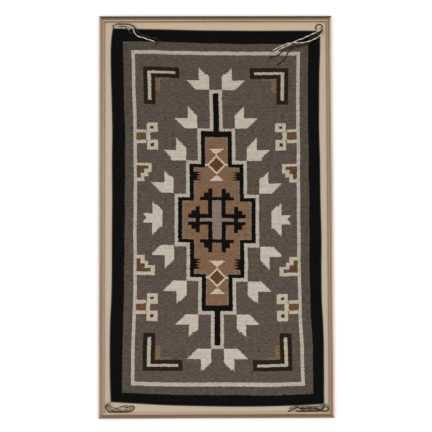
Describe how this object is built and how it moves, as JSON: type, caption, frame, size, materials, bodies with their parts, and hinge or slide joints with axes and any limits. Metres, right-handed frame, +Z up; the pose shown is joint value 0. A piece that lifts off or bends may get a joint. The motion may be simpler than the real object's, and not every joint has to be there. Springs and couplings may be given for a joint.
{
  "type": "navajo rug in a display frame",
  "caption": "Handwoven wool rug in natural greys, browns, cream and black, with corner tassels, laid on a linen-covered board inside a thin wooden frame.",
  "frame": {"origin": "middle of the frame's underside, on the surface it lies on", "axes": "+X across the rug to its right side, +Y along the rug to its top end, +Z up out of the rug's face"},
  "size_m": [0.682, 1.168, 0.026],
  "materials": {
    "frame_wood": "pale wood, thin satin lacquer",
    "backing_board": "raw hardboard",
    "linen": "cream plain-woven linen",
    "rug_wool": "tapestry-woven handspun wool in natural greys, browns, cream and black",
    "cord_wool": "plied black wool",
    "tassel_yarn": "plied cream and dark brown wool yarns"
  },
  "bodies": {
    "root": {"frame_rail_top": "frame_wood", "frame_rail_bottom": "frame_wood", "frame_rail_left": "frame_wood", "frame_rail_right": "frame_wood", "backing_board": "backing_board", "linen_panel": "linen", "rug": "rug_wool", "end_cord_top": "cord_wool", "end_cord_bottom": "cord_wool", "side_cord_left": "cord_wool", "side_cord_right": "cord_wool", "tassel_top_left": "tassel_yarn", "tassel_top_right": "tassel_yarn", "tassel_bottom_left": "tassel_yarn", "tassel_bottom_right": "tassel_yarn"}
  },
  "joints": []
}
